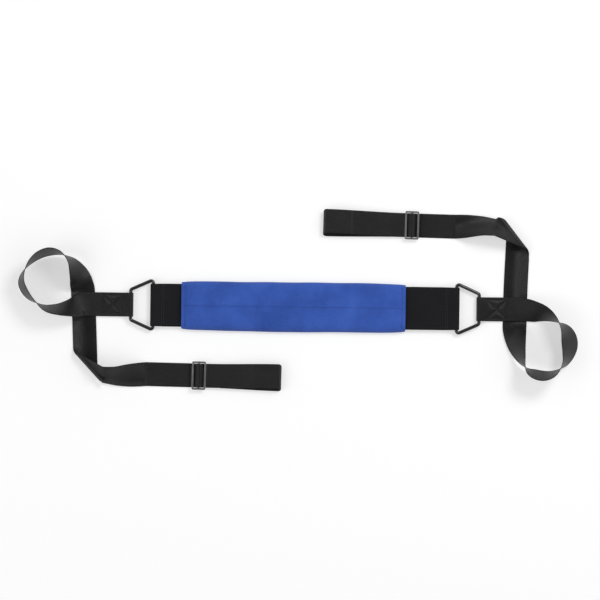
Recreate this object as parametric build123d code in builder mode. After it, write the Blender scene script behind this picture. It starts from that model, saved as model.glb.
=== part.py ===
from build123d import *

import math
import os

# A gait belt laid flat: a wide belt in a padded sleeve, a wire ring at each end, and on
# each ring a strap that lies in a loose loop and ends in an adjustable hand loop.
# Millimetres, +Z up, the belt along X. The origin is on the flat underside of the sleeve,
# midway between the rings.

# ---- driving dimensions ----
belt_width = 68.0
belt_layer = 1.5
belt_slit = 0.2
ring_bar_span = 480.0

sleeve_width = 76.0
sleeve_left_end = -195.4
sleeve_right_end = 159.2
cover_wall = 1.0
cover_corner = 3.6
pad_thickness = 2.4
pad_side_gap = 1.0
pad_end_gap = 12.0
cloth_clearance = 0.3

wire_diameter = 5.6
ring_width_wide = 84.5
ring_width_narrow = 48.0
ring_depth = 35.5
ring_bend_radius = 3.6
wrap_clearance = 0.3

strap_width = 38.0
strap_thickness = 1.3
strap_slit = 0.2
strap_tail_length = 45.5
lay_clearance = 0.3
fold_radius = 6.0
eye_leave_angle = 55.0
lay_bar_x = 275.5

slider_length = 22.0
slider_width = 45.0
slider_bar = 2.8
slider_window_inner = 1.5
slider_corner = 2.0
slider_tail_length = 34.0
slider_tail_overlap = 30.0
slider_lift = 0.5
bar_wrap_clearance = 0.5

hand_loop_bend_outer = 6.0
hand_loop_bend_reach = 45.0

thread_width = 0.9
thread_height = 0.3
belt_stitch_inset = 14.0
belt_stitch_pitch = 4.4
belt_stitch_length = 2.8
box_stitch_start = 12.0
box_stitch_length = 32.0
box_stitch_width = 30.0
seam_offset_y = 3.8
seam_pitch = 5.0
seam_stitch_length = 3.4
hem_inset = 6.0
hem_row_gap = 2.2

# ---- heights and places worked out from them ----
belt_thickness = 2 * belt_layer + belt_slit
bar_z = cover_wall + pad_thickness + cloth_clearance + belt_thickness / 2
sleeve_height = bar_z + belt_thickness / 2 + cloth_clearance + cover_wall
belt_top = bar_z + belt_thickness / 2
wide_bar_x = ring_bar_span / 2
narrow_bar_x = wide_bar_x + ring_depth
belt_eye_outer = wire_diameter / 2 + wrap_clearance + belt_layer
belt_eye_inner = wire_diameter / 2 + wrap_clearance
belt_flat_end = wide_bar_x - belt_stitch_inset + 2 * thread_width
strap_eye_mid = wire_diameter / 2 + wrap_clearance + strap_thickness / 2
half_strap = strap_thickness / 2
crossing_base = strap_thickness + lay_clearance
main_mid_z = crossing_base + half_strap
tail_mid_z = crossing_base - strap_slit - half_strap

rail_bottom = 3 * strap_thickness + 2 * lay_clearance + slider_lift
slider_z = rail_bottom + slider_bar / 2
bar_wrap_mid = slider_bar / 2 + bar_wrap_clearance + half_strap
hump_mid = bar_wrap_mid + strap_thickness + lay_clearance
tail_top_mid_z = strap_thickness + strap_slit / 2 + half_strap
under_rail_mid_z = 2 * strap_thickness + lay_clearance + half_strap + strap_slit
loop_end_mid = hand_loop_bend_outer - half_strap

# How far the rings stand outside the place that the lay was chosen for.
lay_shift = narrow_bar_x - lay_bar_x

# The lay of each strap, by hand: (x, y, tilt, height of the low edge), for a narrow bar at
# lay_bar_x. Tilt 0 is flat with the face up, 90 stands on edge and 180 is flat with the
# back up.
LEFT_LOOP = [
    (-340, 0, 0, crossing_base), (-351, 0, 6, crossing_base), (-360, -3, 22, crossing_base),
    (-370, -6, 42, crossing_base), (-388, -8.5, 60, 1.2), (-403, -8, 70, 1), (-413, -5, 80, 1),
    (-423, 1, 92, 1), (-434, 9, 104, 1), (-443, 20, 110, 1), (-448, 33, 109, 1), (-446, 46, 101, 1.5),
    (-440, 57, 91, 2), (-431, 68, 80, 3), (-419, 77, 73, 3), (-404, 82, 71, 4), (-389, 81, 79, 5),
    (-377, 75, 93, 6), (-367, 66, 111, 6), (-360, 54, 131, 5), (-355, 41, 150, 3), (-353, 30, 168, 1),
    (-351.5, 21, 180, 0), (-350.5, 0, 180, 0), (-349, -25, 180, 0), (-347.3, -63, 180, 0),
]
RIGHT_LOOP = [
    (322, 0.2, 0, crossing_base), (333, 0.3, 4, crossing_base), (343, 0, 12, crossing_base),
    (353, -1, 21, crossing_base), (363, -3, 31, 1.5), (373, -5, 43, 1.2), (383, -8.5, 58, 1),
    (393, -14, 75, 1), (401, -20, 92, 1), (408, -26, 110, 1), (414, -34, 125, 1), (418, -45, 135, 1),
    (419, -57, 135, 1), (417, -70, 125, 1), (412, -83, 109, 2), (403, -93, 91, 4), (391, -101, 75, 6),
    (377, -103.5, 66, 7), (363, -101, 67, 7), (353, -96, 77, 7), (346, -87, 95, 6), (341, -76, 113, 4),
    (336, -61, 132, 3), (333, -45, 150, 2), (332, -31, 168, 1), (332.3, -21, 180, 0),
    (332.5, 0, 180, 0), (333.3, 40, 180, 0), (334.9, 80, 180, 0),
]
LEFT_RUN = [(-303, -107, 6, 10), (-285, -108.8, 14, 5), (-267, -109.6, 12, 1.5)]
RIGHT_RUN = [(294.4, 128.7, 8, 10), (276, 130.6, 17, 5), (256, 130.4, 13, 1.5)]

# Each side: its sign along X, the strap's lay, the corner fold's centre and the angle of its
# crease, the run after it, where the straight run to the hand loop starts, its heading, and
# how far along it the slider and the end of the hand loop lie.
SIDES = {
    "left": dict(sign=-1, loop=LEFT_LOOP, fold=(-346.3, -86.5), crease=-47.3, run=LEFT_RUN,
                 start=(-250.0, -109.6), heading=-0.8, slider=83.7, reach=130.7),
    "right": dict(sign=1, loop=RIGHT_LOOP, fold=(335.6, 105.2), crease=128.0, run=RIGHT_RUN,
                  start=(235.0, 130.0), heading=178.9, slider=67.3, reach=140.4),
}

os.makedirs("parts", exist_ok=True)


def save(piece, name):
    piece.part.label = name
    export_step(piece.part, f"parts/{name}.step")


def direction(angle):
    """Unit vector in the floor plane at an angle in degrees from +X."""
    return Vector(math.cos(math.radians(angle)), math.sin(math.radians(angle)), 0)


def ribbon_outline(points, thickness):
    """Closed outline of a flat strip of this thickness whose middle follows the points."""
    above, below = [], []
    for i, (x, z) in enumerate(points):
        before = points[max(i - 1, 0)]
        after = points[min(i + 1, len(points) - 1)]
        a = math.atan2(z - before[1], x - before[0]) if i else math.atan2(after[1] - z, after[0] - x)
        b = math.atan2(after[1] - z, after[0] - x) if i < len(points) - 1 else a
        turn = math.remainder(b - a, 2 * math.pi)
        middle = a + turn / 2
        reach = thickness / 2 / math.cos(turn / 2)
        above.append((x - reach * math.sin(middle), z + reach * math.cos(middle)))
        below.append((x + reach * math.sin(middle), z - reach * math.cos(middle)))
    return above + below[::-1]


def arc_points(centre_z, radius, first, last, steps):
    """Points on a circle about (0, centre_z), from one angle to another in degrees."""
    angles = [math.radians(first + (last - first) * i / steps) for i in range(steps + 1)]
    return [(radius * math.cos(a), centre_z + radius * math.sin(a)) for a in angles]


def loft_sections(sections):
    """One solid through rectangles, each given by centre, width vector, heading and width."""
    with BuildPart() as strip:
        for centre, across, heading, width in sections:
            with BuildSketch(Plane(origin=centre, x_dir=across, z_dir=heading)):
                Rectangle(width, strap_thickness)
        loft(ruled=True)
    return strip


def shifted(side, stations):
    """Stations moved along with the side's ring."""
    return [(x + side["sign"] * lay_shift, *rest) for x, *rest in stations]


def lay_sections(stations, first_heading, last_heading):
    """Sections of a strap that lies through (x, y, tilt, base) stations."""
    centres = []
    for x, y, tilt, base in stations:
        t = math.radians(tilt)
        rise = strap_width / 2 * abs(math.sin(t)) + half_strap * abs(math.cos(t))
        centres.append(Vector(x, y, base + rise))
    sections = []
    for i, (x, y, tilt, base) in enumerate(stations):
        heading = (centres[min(i + 1, len(centres) - 1)] - centres[max(i - 1, 0)]).normalized()
        if i == 0:
            heading = first_heading
        if i == len(stations) - 1:
            heading = last_heading
        flat = Vector(heading.X, heading.Y, 0).normalized()
        t = math.radians(tilt)
        side = Vector(0, 0, 1).cross(flat)
        across = side * math.cos(t) + Vector(0, 0, 1) * math.sin(t)
        across = (across - heading * across.dot(heading)).normalized()
        sections.append((centres[i], across, heading, strap_width))
    return sections


def eye_sections(sign):
    """Sections from the sewn tail end, round the ring's narrow bar and back over it."""
    across = Vector(0, sign, 0)

    def place(reach, z):
        return Vector(sign * (narrow_bar_x + reach), 0, z)

    sections = []
    inward = Vector(-sign, 0, 0)
    for reach, z in ((strap_tail_length, tail_mid_z), (box_stitch_start, tail_mid_z)):
        sections.append((place(reach, z), across, inward, strap_width))
    steps = 10
    first, last = -80.0, eye_leave_angle - 360.0
    for i in range(steps + 1):
        a = math.radians(first + (last - first) * i / steps)
        centre = place(strap_eye_mid * math.cos(a), bar_z + strap_eye_mid * math.sin(a))
        heading = Vector(sign * math.sin(a), 0, -math.cos(a))
        sections.append((centre, across, heading, strap_width))
    fall = bar_z + strap_eye_mid * math.sin(math.radians(last)) - main_mid_z
    landing = strap_eye_mid * math.cos(math.radians(last))
    landing += fall / math.tan(math.radians(90.0 - eye_leave_angle))
    half_slope = math.radians((90.0 - eye_leave_angle) / 2)
    bend = Vector(sign * math.cos(half_slope), 0, -math.sin(half_slope))
    sections.append((place(landing, main_mid_z), across, bend, strap_width))
    return sections


def fold_sections(fold, crease, arrive):
    """Sections of the loose corner fold, which turns the strap over about its crease."""
    along = direction(crease)
    out = direction(crease - 90.0)
    if out.dot(arrive) < 0:
        out = out * -1
    up = Vector(0, 0, 1)
    back_side = up.cross(arrive) * -1
    across = along if along.dot(back_side) > 0 else along * -1
    width = strap_width / abs(along.dot(back_side))
    drift = arrive.dot(along) / arrive.dot(out)
    sections = []
    steps = 8
    for i in range(steps + 1):
        a = math.pi * i / steps
        centre = Vector(fold[0], fold[1], half_strap) + along * (fold_radius * a * drift)
        centre = centre + out * (fold_radius * math.sin(a)) + up * (fold_radius * (1 - math.cos(a)))
        heading = out * math.cos(a) + up * math.sin(a)
        sections.append((centre, across, heading, width))
    leave = along * arrive.dot(along) - out * arrive.dot(out)
    return sections, leave


def extrude_profile(points, plane, width=strap_width):
    """A strip whose lengthwise profile lies in the plane, as wide as the strap."""
    with BuildPart() as strip:
        with BuildSketch(plane):
            with BuildLine():
                Polyline(*ribbon_outline(points, strap_thickness), close=True)
            make_face()
        extrude(amount=width / 2, both=True)
    return strip


# ---- the belt: one band folded round both rings, with a row of stitches by each ring ----
def belt_outline(eye_radius, half_height):
    """Side profile of the belt, a flat band that swells round each wide bar."""
    with BuildSketch(Plane.XZ) as outline:
        with Locations((0, bar_z)):
            Rectangle(2 * belt_flat_end, 2 * half_height)
        for sign in (-1, 1):
            with BuildSketch(Plane.XZ, mode=Mode.PRIVATE) as eye:
                with Locations((sign * wide_bar_x, bar_z)):
                    Circle(eye_radius)
                with Locations((sign * belt_flat_end, bar_z)):
                    Rectangle(0.1, 2 * half_height)
                make_hull()
            add(eye.sketch)
    return outline.sketch


belt_outside = belt_outline(belt_eye_outer, belt_thickness / 2)
belt_inside = belt_outline(belt_eye_inner, belt_slit / 2)
with BuildPart() as belt_webbing:
    extrude(belt_outside, amount=belt_width / 2, both=True)
    extrude(belt_inside, amount=belt_width / 2 + 1, both=True, mode=Mode.SUBTRACT)
save(belt_webbing, "belt_webbing")

for side_name, sign in (("left", -1), ("right", 1)):
    with BuildPart() as belt_stitching:
        with BuildSketch(Plane.XY.offset(belt_top)):
            with Locations((sign * (wide_bar_x - belt_stitch_inset), 0)):
                with GridLocations(1, belt_stitch_pitch, 1, int(belt_width / belt_stitch_pitch)):
                    Rectangle(thread_width, belt_stitch_length)
        extrude(amount=thread_height)
    save(belt_stitching, f"{side_name}_belt_stitching")

# ---- the sleeve: a sewn tube of cloth, the foam pad in it, its seam and its hems ----
sleeve_length = sleeve_right_end - sleeve_left_end
sleeve_middle = (sleeve_right_end + sleeve_left_end) / 2
sleeve_end_plane = Plane(origin=(sleeve_left_end, 0, sleeve_height / 2), x_dir=(0, 1, 0), z_dir=(1, 0, 0))

with BuildPart() as sleeve_cover:
    with BuildSketch(sleeve_end_plane):
        RectangleRounded(sleeve_width, sleeve_height, cover_corner)
        RectangleRounded(
            sleeve_width - 2 * cover_wall,
            sleeve_height - 2 * cover_wall,
            cover_corner - cover_wall,
            mode=Mode.SUBTRACT,
        )
    extrude(amount=sleeve_length)
save(sleeve_cover, "sleeve_cover")

pad_width = sleeve_width - 2 * cover_wall - 2 * (cover_corner - cover_wall) - 2 * pad_side_gap
with BuildPart() as sleeve_pad:
    with BuildSketch(Plane.XY.offset(cover_wall)):
        with Locations((sleeve_middle, 0)):
            RectangleRounded(sleeve_length - 2 * pad_end_gap, pad_width, cover_corner)
    extrude(amount=pad_thickness)
save(sleeve_pad, "sleeve_pad")

seam_count = int((sleeve_length - 4 * hem_inset) / seam_pitch)
with BuildPart() as sleeve_seam_stitching:
    with BuildSketch(Plane.XY.offset(sleeve_height)):
        with Locations((sleeve_middle, seam_offset_y)):
            with GridLocations(seam_pitch, 1, seam_count, 1):
                Rectangle(seam_stitch_length, thread_width)
    extrude(amount=thread_height)
save(sleeve_seam_stitching, "sleeve_seam_stitching")

hem_count = int((sleeve_width - 2 * cover_corner) / seam_pitch)
for side_name, hem_x in (("left", sleeve_left_end + hem_inset), ("right", sleeve_right_end - hem_inset)):
    with BuildPart() as hem_stitching:
        with BuildSketch(Plane.XY.offset(sleeve_height)):
            with Locations((hem_x, 0)):
                with GridLocations(hem_row_gap, seam_pitch, 1, hem_count):
                    Rectangle(thread_width, seam_stitch_length)
        extrude(amount=thread_height)
    save(hem_stitching, f"{side_name}_hem_stitching")


# ---- the wire rings ----
def ring_corners(sign):
    """Corners of the trapezoid that the wire's middle follows, widest at the belt."""
    wide, narrow = ring_width_wide / 2, ring_width_narrow / 2
    return [
        (sign * wide_bar_x, -wide),
        (sign * wide_bar_x, wide),
        (sign * narrow_bar_x, narrow),
        (sign * narrow_bar_x, -narrow),
    ]


def make_ring(sign):
    with BuildPart() as ring:
        with BuildLine(Plane.XY.offset(bar_z)) as wire_path:
            FilletPolyline(*ring_corners(sign), radius=ring_bend_radius, close=True)
        with BuildSketch(wire_path.wire() ^ 0):
            Circle(wire_diameter / 2)
        sweep(path=wire_path.wire())
    return ring


# ---- the straps, sliders and hand loops ----
def make_strap(side):
    """The strap from its sewn eye through its loose loop and corner fold to the flat run."""
    arrive_from, arrive_to = side["loop"][-2], side["loop"][-1]
    arrive = Vector(arrive_to[0] - arrive_from[0], arrive_to[1] - arrive_from[1], 0).normalized()
    outward = Vector(side["sign"], 0, 0)
    fold_centre = shifted(side, [side["fold"]])[0]
    bend, leave = fold_sections(fold_centre, side["crease"], arrive)
    run_heading = direction(side["heading"])
    run_stations = shifted(side, side["run"] + [(*side["start"], 0, 0)])
    sections = eye_sections(side["sign"])
    sections += lay_sections(shifted(side, side["loop"]), outward, arrive)
    sections += bend
    sections += lay_sections(run_stations, leave, run_heading)
    return loft_sections(sections)


def make_box_stitching(sign):
    """A sewn box with a cross in it, through both layers beside the eye."""
    centre_x = sign * (narrow_bar_x + box_stitch_start + box_stitch_length / 2)
    across = math.degrees(math.atan2(box_stitch_width, box_stitch_length))
    diagonal = math.hypot(box_stitch_width, box_stitch_length) - 2 * thread_width
    with BuildPart() as stitching:
        with BuildSketch(Plane.XY.offset(crossing_base + strap_thickness)):
            with Locations((centre_x, 0)):
                Rectangle(box_stitch_length, box_stitch_width)
                Rectangle(
                    box_stitch_length - 2 * thread_width,
                    box_stitch_width - 2 * thread_width,
                    mode=Mode.SUBTRACT,
                )
                Rectangle(diagonal, thread_width, rotation=across)
                Rectangle(diagonal, thread_width, rotation=-across)
        extrude(amount=thread_height)
    return stitching


def make_slider(plane):
    """A flat metal slider: two rails, two sides and a centre bar."""
    window = slider_length / 2 - slider_bar - slider_window_inner
    window_x = slider_window_inner + window / 2
    with BuildPart() as frame:
        with BuildSketch(plane.offset(slider_z - slider_bar / 2)):
            RectangleRounded(slider_length, slider_width, slider_corner)
            with Locations((-window_x, 0), (window_x, 0)):
                Rectangle(window, slider_width - 2 * slider_bar, mode=Mode.SUBTRACT)
        extrude(amount=slider_bar)
        level_edges = frame.edges().filter_by(GeomType.LINE).group_by(Axis.Z)
        fillet(level_edges[0] + level_edges[-1], slider_bar / 4)
    return frame


def tail_profile():
    """The strap's sewn end: in from the hand loop, round the centre bar and back on itself."""
    wrap = arc_points(slider_z, bar_wrap_mid, 270, 0, 12)
    lead_in = [(slider_tail_length, half_strap), (9, half_strap), (6.5, half_strap + 0.1)]
    lead_in += [(3.0, half_strap + 1.6)]
    lead_out = [(3.2, slider_z - 1.9), (6.6, tail_top_mid_z + 0.45), (9, tail_top_mid_z)]
    return lead_in + wrap + lead_out + [(slider_tail_overlap, tail_top_mid_z)]


def slope_height(reach, x):
    """Height of the hand loop's upper layer, which rises evenly to its bend."""
    low_x = slider_length / 2 + 5.0
    high_x = reach - hand_loop_bend_outer
    high_z = hand_loop_bend_outer + loop_end_mid
    return under_rail_mid_z + (high_z - under_rail_mid_z) * (x - low_x) / (high_x - low_x)


def upper_profile(reach):
    """The strap under the first rail, over the wrapped bar, under the second and on."""
    edge = slider_length / 2
    hump = arc_points(slider_z, hump_mid, 165, 15, 10)
    rise = [(-edge - 2.2, half_strap), (-edge - 0.5, half_strap + 0.15), (-edge + 2.0, half_strap + 1.25)]
    fall = [(edge - 2.7, under_rail_mid_z + 0.2), (edge + 0.5, under_rail_mid_z)]
    fall += [(edge + 5.0, under_rail_mid_z)]
    end = reach - hand_loop_bend_reach
    return rise + hump + fall + [(end, slope_height(reach, end))]


def bend_profile(reach):
    """The rounded end of the hand loop, a U that holds a stretch of both layers."""
    start = reach - hand_loop_bend_reach + lay_clearance
    turn_x = reach - hand_loop_bend_outer
    turn = arc_points(hand_loop_bend_outer, loop_end_mid, 82, -90, 12)
    turn = [(turn_x + x, z) for x, z in turn]
    return [(start, slope_height(reach, start))] + turn + [(start, half_strap)]


for side_name, side in SIDES.items():
    run_direction = direction(side["heading"])
    run_start = Vector(*shifted(side, [side["start"]])[0], 0)
    slider_centre = run_start + run_direction * side["slider"]
    run_plane = Plane(origin=slider_centre, x_dir=run_direction, z_dir=(0, 0, 1))
    profile_plane = Plane(
        origin=slider_centre, x_dir=run_direction, z_dir=run_direction.cross(Vector(0, 0, 1))
    )
    run_end = -slider_length / 2 - 2.2 - lay_clearance

    save(make_ring(side["sign"]), f"{side_name}_ring")
    save(make_strap(side), f"{side_name}_strap_webbing")
    save(make_box_stitching(side["sign"]), f"{side_name}_box_stitching")
    run = extrude_profile([(-side["slider"], half_strap), (run_end, half_strap)], profile_plane)
    save(run, f"{side_name}_strap_run")
    save(make_slider(run_plane), f"{side_name}_slider_frame")
    save(extrude_profile(tail_profile(), profile_plane), f"{side_name}_slider_tail")
    save(extrude_profile(upper_profile(side["reach"]), profile_plane), f"{side_name}_hand_loop_upper")
    lower = [(slider_tail_length, half_strap), (side["reach"] - hand_loop_bend_reach, half_strap)]
    save(extrude_profile(lower, profile_plane), f"{side_name}_hand_loop_lower")
    save(extrude_profile(bend_profile(side["reach"]), profile_plane), f"{side_name}_hand_loop_end")

    with BuildPart() as tail_stitching:
        with BuildSketch(run_plane.offset(tail_top_mid_z + half_strap)):
            for x in (17.0, 26.0):
                with Locations((x, 0)):
                    Rectangle(thread_width, strap_width - 8.0)
        extrude(amount=thread_height / 2)
    save(tail_stitching, f"{side_name}_tail_stitching")
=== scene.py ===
import math

import bpy
import numpy as np
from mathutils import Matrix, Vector, noise


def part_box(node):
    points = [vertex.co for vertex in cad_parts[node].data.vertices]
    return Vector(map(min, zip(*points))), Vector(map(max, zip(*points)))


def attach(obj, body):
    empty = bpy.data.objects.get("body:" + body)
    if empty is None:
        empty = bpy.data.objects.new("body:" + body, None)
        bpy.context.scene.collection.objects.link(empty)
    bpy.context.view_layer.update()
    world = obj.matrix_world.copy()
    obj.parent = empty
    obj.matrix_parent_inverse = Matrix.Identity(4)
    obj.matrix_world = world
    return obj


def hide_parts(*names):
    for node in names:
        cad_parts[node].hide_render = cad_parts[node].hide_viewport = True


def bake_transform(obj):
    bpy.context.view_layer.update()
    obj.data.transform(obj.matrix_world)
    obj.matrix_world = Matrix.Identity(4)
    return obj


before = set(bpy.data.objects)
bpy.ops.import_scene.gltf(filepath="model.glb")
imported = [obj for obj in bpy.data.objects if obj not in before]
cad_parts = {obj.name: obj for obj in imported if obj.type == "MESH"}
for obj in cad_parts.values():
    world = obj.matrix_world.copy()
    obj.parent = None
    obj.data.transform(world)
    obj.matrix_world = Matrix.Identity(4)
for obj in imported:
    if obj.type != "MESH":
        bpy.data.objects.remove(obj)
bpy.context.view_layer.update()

MM = 0.001

# ---- sizes, in metres, read from the frame ----
BELT_LOW, BELT_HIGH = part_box("belt_webbing")
COVER_LOW, COVER_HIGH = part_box("sleeve_cover")
RING_LOW, RING_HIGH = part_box("right_ring")
BELT_WIDTH = BELT_HIGH.y - BELT_LOW.y
BAR_Z = (RING_LOW.z + RING_HIGH.z) / 2
WIRE_RADIUS = (RING_HIGH.z - RING_LOW.z) / 2
WIDE_BAR_X = RING_LOW.x + WIRE_RADIUS
NARROW_BAR_X = RING_HIGH.x - WIRE_RADIUS
RING_WIDE = RING_HIGH.y - WIRE_RADIUS
SLEEVE_LENGTH = COVER_HIGH.x - COVER_LOW.x

# ---- sizes of the webbing and rings ----
STRAP_WIDTH = 0.038
STRAP = 0.0013            # thickness of the strap
BELT_LAYER = 0.0015       # thickness of one layer of the belt
BELT_SLIT = 0.0002        # between the belt's two layers
SLIT = 0.0002             # between two sewn layers of strap
WRAP_GAP = 0.0003         # between webbing and the bar that it wraps
CROSSING = 0.0016         # height at which the strap crosses over its own drop
FOLD_RADIUS = 0.006       # of the loose corner fold
TAIL_REACH = 0.0455       # from the narrow bar to the sewn tail's end
TAIL_RISE = 0.012         # from the narrow bar to where the tail starts to rise
EYE_LEAVE = 55.0          # degrees round the bar at which the strap leaves it
RING_NARROW = 0.024       # half the narrow bar, to its corner
RING_BEND = 0.0036        # radius of the wire's bends

# ---- sizes at the slider and hand loop ----
SLIDER_EDGE = 0.011       # from the middle bar to the frame's outer edge
RUN_END = 0.0022          # how far before that edge the flat run ends
SEWN_END = 0.034          # from the middle bar to where the sewn end gives way to the loop
LOOP_BEND_REACH = 0.045   # length of the hand loop's end piece
LOOP_END_RADIUS = 0.006   # outside of the round end
BAR_CLEARANCE = 0.0005    # between the sewn end and the middle bar
LOOP_FAN = 0.0026         # how far the loop's two layers lie to the side at its end

# Each strap's lay, in millimetres and degrees: (x, y, tilt, height of the low edge).
# Tilt 0 is flat with the face up, 90 stands on edge and 180 is flat with the back up.
LEFT_LOOP = [
    (-340, 0, 0, 1.6), (-351, 0, 6, 1.6), (-360, -3, 22, 1.6), (-370, -6, 42, 1.6),
    (-388, -8.5, 60, 1.2), (-403, -8, 70, 1), (-413, -5, 80, 1), (-423, 1, 92, 1),
    (-434, 9, 104, 1), (-443, 20, 110, 1), (-448, 33, 109, 1), (-446, 46, 101, 1.5),
    (-440, 57, 91, 2), (-431, 68, 80, 3), (-419, 77, 73, 3), (-404, 82, 71, 4),
    (-389, 81, 79, 5), (-377, 75, 93, 6), (-367, 66, 111, 6), (-360, 54, 131, 5),
    (-355, 41, 150, 3), (-353, 30, 168, 1), (-351.5, 21, 180, 0), (-350.5, 0, 180, 0),
    (-349, -25, 180, 0), (-347.3, -63, 180, 0),
]
RIGHT_LOOP = [
    (322, 0.2, 0, 1.6), (333, 0.3, 4, 1.6), (343, 0, 12, 1.6), (353, -1, 21, 1.6),
    (363, -3, 31, 1.5), (373, -5, 43, 1.2), (383, -8.5, 58, 1), (393, -14, 75, 1),
    (401, -20, 92, 1), (408, -26, 110, 1), (414, -34, 125, 1), (418, -45, 135, 1),
    (419, -57, 135, 1), (417, -70, 125, 1), (412, -83, 109, 2), (403, -93, 91, 4),
    (391, -101, 75, 6), (377, -103.5, 66, 7), (363, -101, 67, 7), (353, -96, 77, 7),
    (346, -87, 95, 6), (341, -76, 113, 4), (336, -61, 132, 3), (333, -45, 150, 2),
    (332, -31, 168, 1), (332.3, -21, 180, 0), (332.5, 0, 180, 0), (333.3, 40, 180, 0),
    (334.9, 80, 180, 0),
]
LEFT_RUN = [
    (-318.5, -111.2, 47, 2), (-306, -112.4, 42, 2), (-293.5, -113, 34, 1.5),
    (-272, -111.5, 15, 0.5), (-250, -109.6, 0, 0),
]
RIGHT_RUN = [
    (298.6, 129.6, 44, 2), (279.4, 131.6, 36, 2), (262, 131.3, 24, 1.5), (248, 130.5, 10, 0.5),
    (235, 130, 0, 0),
]

# fold is the middle of the corner fold and crease the direction of its crease. heading is the
# way that the flat run leaves, slider the distance along it to the slider's middle bar, and
# reach the distance from there to the hand loop's end.
SIDES = {
    "left": dict(sign=-1, loop=LEFT_LOOP, fold=(-346.3, -86.5), crease=-47.3, run=LEFT_RUN,
                 heading=-0.8, slider=0.0837, reach=0.1307),
    "right": dict(sign=1, loop=RIGHT_LOOP, fold=(335.6, 105.2), crease=128.0, run=RIGHT_RUN,
                  heading=178.9, slider=0.0673, reach=0.1404),
}
UP = Vector((0, 0, 1))


def smooth(t):
    """0 below 0, 1 above 1 and an easy curve between."""
    t = min(max(t, 0.0), 1.0)
    return t * t * (3 - 2 * t)


def direction(angle):
    """A level direction, in degrees from +X."""
    return Vector((math.cos(math.radians(angle)), math.sin(math.radians(angle)), 0))


# ---- materials ----
class Shader:
    """A node material whose parts are added one at a time."""

    def __init__(self, name):
        self.material = bpy.data.materials.new(name)
        self.material.use_nodes = True
        self.tree = self.material.node_tree
        self.surface = self.tree.nodes["Principled BSDF"]

    def node(self, kind, **settings):
        """A node with its inputs or properties set by name."""
        made = self.tree.nodes.new(kind)
        for key, value in settings.items():
            if key in made.inputs:
                made.inputs[key].default_value = value
            else:
                setattr(made, key, value)
        return made

    def link(self, source, target):
        self.tree.links.new(source, target)

    def coords(self, kind="Object", scale=(1, 1, 1)):
        place = self.node("ShaderNodeTexCoord")
        mapping = self.node("ShaderNodeMapping")
        mapping.inputs["Scale"].default_value = scale
        self.link(place.outputs[kind], mapping.inputs["Vector"])
        return mapping.outputs["Vector"]

    def math(self, operation, a, b=None, c=None):
        """A sum of sockets and numbers."""
        made = self.node("ShaderNodeMath", operation=operation)
        for socket, value in zip(made.inputs, (a, b, c)):
            if value is None:
                continue
            if hasattr(value, "is_output"):
                self.link(value, socket)
            else:
                socket.default_value = value
        return made.outputs[0]

    def noise(self, vector, scale, detail=3.0, roughness=0.55):
        made = self.node("ShaderNodeTexNoise")
        made.inputs["Scale"].default_value = scale
        made.inputs["Detail"].default_value = detail
        made.inputs["Roughness"].default_value = roughness
        self.link(vector, made.inputs["Vector"])
        return made.outputs["Fac"]

    def ramp(self, factor, stops):
        """A colour for each factor, from (position, colour) stops."""
        made = self.node("ShaderNodeValToRGB")
        elements = made.color_ramp.elements
        while len(elements) < len(stops):
            elements.new(0.5)
        for element, (position, colour) in zip(elements, stops):
            element.position = position
            element.color = (*colour, 1.0)
        self.link(factor, made.inputs["Fac"])
        return made.outputs["Color"]

    def bump(self, height, strength, distance, under=None):
        made = self.node("ShaderNodeBump")
        made.inputs["Strength"].default_value = strength
        made.inputs["Distance"].default_value = distance
        self.link(height, made.inputs["Height"])
        if under is not None:
            self.link(under, made.inputs["Normal"])
        return made.outputs["Normal"]

    def set(self, **values):
        for key, value in values.items():
            self.surface.inputs[key.replace("_", " ")].default_value = value


def webbing_material(name, dark, light, rough_low, rough_high, rib, sheen, specular):
    """Woven black webbing: fine ribs across it, a slanting twill, lighter in patches.

    rib is the distance from one rib to the next, in metres.
    """
    m = Shader(name)
    uv = m.coords("UV")
    split = m.node("ShaderNodeSeparateXYZ")
    m.link(uv, split.inputs[0])
    across, along = split.outputs[0], split.outputs[1]
    tau = 2 * math.pi
    warp_pitch, twill_pitch = rib * 1.15, rib * 2.3
    ribs = m.math("SINE", m.math("MULTIPLY", along, tau / rib))
    warp = m.math("SINE", m.math("MULTIPLY", across, tau / warp_pitch))
    slant = m.math("ADD", across, m.math("MULTIPLY", along, 0.5))
    twill = m.math("SINE", m.math("MULTIPLY", slant, tau / twill_pitch))
    broken_ribs = m.math("MULTIPLY", ribs, m.math("MULTIPLY_ADD", warp, 0.35, 0.8))
    weave = m.math("ADD", broken_ribs, m.math("MULTIPLY", twill, 0.3))
    patches = m.noise(m.coords("Object"), 28.0, 4.0)
    fibres = m.noise(m.coords("UV", (900, 60, 1)), 3.0, 2.0)
    mixed = m.math("ADD", m.math("MULTIPLY", patches, 0.7), m.math("MULTIPLY", fibres, 0.3))
    m.link(m.ramp(mixed, [(0.30, dark), (0.72, light)]), m.surface.inputs["Base Color"])
    spread = m.node("ShaderNodeMapRange")
    spread.inputs["To Min"].default_value = rough_low
    spread.inputs["To Max"].default_value = rough_high
    m.link(patches, spread.inputs["Value"])
    m.link(spread.outputs[0], m.surface.inputs["Roughness"])
    soft = m.bump(patches, 0.14, 0.0012)
    m.link(m.bump(weave, 0.6, 0.00022, soft), m.surface.inputs["Normal"])
    m.set(Sheen_Weight=sheen, Sheen_Roughness=0.35, Specular_IOR_Level=specular)
    return m.material


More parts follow.
